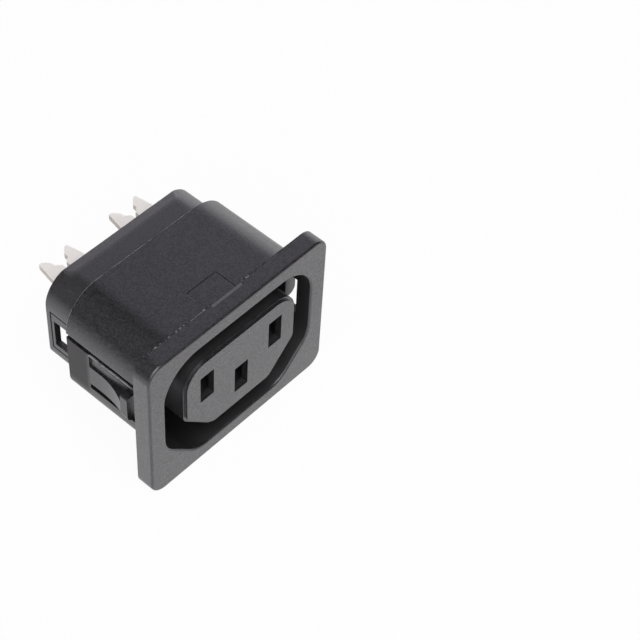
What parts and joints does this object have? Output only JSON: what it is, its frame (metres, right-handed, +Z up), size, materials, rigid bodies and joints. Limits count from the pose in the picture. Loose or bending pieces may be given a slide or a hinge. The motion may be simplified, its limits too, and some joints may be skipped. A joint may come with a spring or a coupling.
{
  "type": "snap-in panel power socket",
  "caption": "Snap-in panel power outlet: flanged moulded housing, slotted boss in a keyed recess, sprung side tongues that hook behind the panel and forked wire terminals at the rear.",
  "frame": {"origin": "centre of the flange's back face, in the plane of the panel's front", "axes": "+X to the right seen from the front, +Y through the panel towards the rear, +Z up, with the cut-off corners at the bottom"},
  "size_m": [0.036, 0.0315, 0.028],
  "materials": {
    "housing": "black moulding with a fine eroded grain",
    "contact": "matte tin plate"
  },
  "bodies": {
    "root": {"housing": "housing", "line_contact": "contact", "neutral_contact": "contact", "earth_contact": "contact"}
  },
  "joints": []
}
